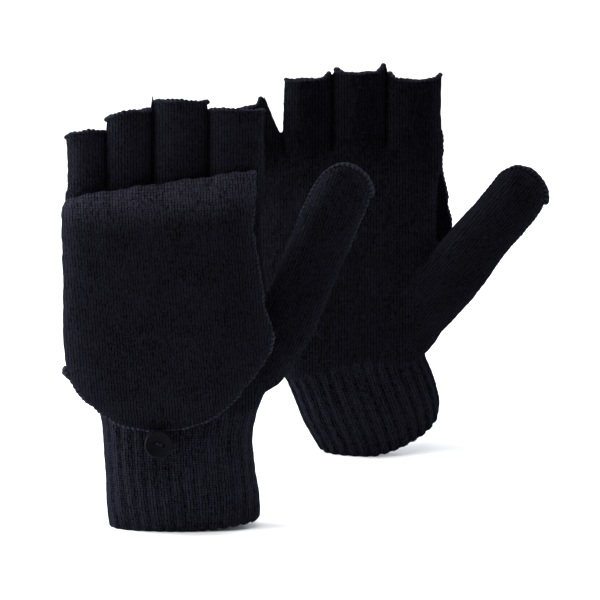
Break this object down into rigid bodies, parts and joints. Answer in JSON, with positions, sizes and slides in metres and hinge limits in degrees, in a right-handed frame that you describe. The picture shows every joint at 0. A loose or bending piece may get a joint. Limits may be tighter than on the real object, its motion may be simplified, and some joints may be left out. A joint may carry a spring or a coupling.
{
  "type": "pair of convertible flip-top mittens",
  "caption": "Knitted half-finger gloves with a flip-over mitten cap on the back of each hand, held by a button and loop, and long ribbed cuffs.",
  "frame": {"origin": "middle of the pair's box, on the surface that the cuffs stand on", "axes": "+Z towards the fingertips, +X towards the thumbs, -Y is the side that the left mitten's folded cap faces"},
  "size_m": [0.2218, 0.1882, 0.2056],
  "materials": {
    "jersey": "matt fine knit, very dark navy",
    "rib": "matt ribbed knit, very dark navy",
    "edge": "matt bound-off edges, hems and seams",
    "button": "semi-gloss dark plastic",
    "thread": "twisted thread and elastic"
  },
  "bodies": {
    "left_mitten": {"left_cuff": "rib", "left_hand": "jersey", "left_thumb_root": "jersey", "left_little_stall": "jersey", "left_ring_stall": "jersey", "left_middle_stall": "jersey", "left_index_stall": "jersey", "left_little_edge": "edge", "left_ring_edge": "edge", "left_middle_edge": "edge", "left_index_edge": "edge", "left_cap_joining_seam": "edge"},
    "left_thumb_end": {"left_thumb": "jersey"},
    "left_cap": {"left_cap_inner_panel": "jersey", "left_cap_outer_panel": "jersey", "left_cap_hem": "edge", "left_cap_edge_seam": "edge", "left_button_loop": "thread"},
    "left_button_body": {"left_button": "button", "left_button_thread": "thread"},
    "right_mitten": {"right_cuff": "rib", "right_hand": "jersey", "right_thumb_root": "jersey", "right_little_stall": "jersey", "right_ring_stall": "jersey", "right_middle_stall": "jersey", "right_index_stall": "jersey", "right_little_edge": "edge", "right_ring_edge": "edge", "right_middle_edge": "edge", "right_index_edge": "edge", "right_cap_joining_seam": "edge"},
    "right_thumb_end": {"right_thumb": "jersey"},
    "right_cap": {"right_cap_inner_panel": "jersey", "right_cap_outer_panel": "jersey", "right_cap_hem": "edge", "right_cap_edge_seam": "edge", "right_button_loop": "thread"},
    "right_button_body": {"right_button": "button", "right_button_thread": "thread"}
  },
  "joints": [
    {"name": "right_mitten_lift", "type": "slide", "parent": "left_mitten", "child": "right_mitten", "axis": [0, 0, 1], "range_m": [0, 0.25]},
    {"name": "left_cap_flip", "type": "hinge", "parent": "left_mitten", "child": "left_cap", "pos_m": [-0.06717, -0.08005, 0.16], "axis": [-0.9976, 0, -0.0698], "range_deg": [0, 176], "deforming": ["left_cap_outer_panel", "left_cap_hem", "left_cap_edge_seam", "left_button_loop", "left_cap_joining_seam"]},
    {"name": "right_cap_flip", "type": "hinge", "parent": "right_mitten", "child": "right_cap", "pos_m": [0.01632, 0.07645, 0.143], "axis": [0.9976, 0, 0.0698], "range_deg": [0, 172], "deforming": ["right_cap_outer_panel", "right_cap_hem", "right_cap_edge_seam", "right_button_loop", "right_cap_joining_seam"]},
    {"name": "left_thumb_swing", "type": "hinge", "parent": "left_mitten", "child": "left_thumb_end", "pos_m": [-0.00254, -0.05794, 0.11023], "axis": [0, 1, 0], "range_deg": [-18, 18], "deforming": ["left_thumb_root"]},
    {"name": "right_thumb_swing", "type": "hinge", "parent": "right_mitten", "child": "right_thumb_end", "pos_m": [0.07362, 0.05437, 0.09512], "axis": [0, 1, 0], "range_deg": [-18, 18], "deforming": ["right_thumb_root"]},
    {"name": "left_button_tilt", "type": "hinge", "parent": "left_mitten", "child": "left_button_body", "pos_m": [-0.06688, -0.0804, 0.0455], "axis": [1, 0, 0], "range_deg": [-12, 12]},
    {"name": "right_button_tilt", "type": "hinge", "parent": "right_mitten", "child": "right_button_body", "pos_m": [0.01982, 0.0848, 0.0248], "axis": [1, 0, 0], "range_deg": [-12, 12]}
  ]
}
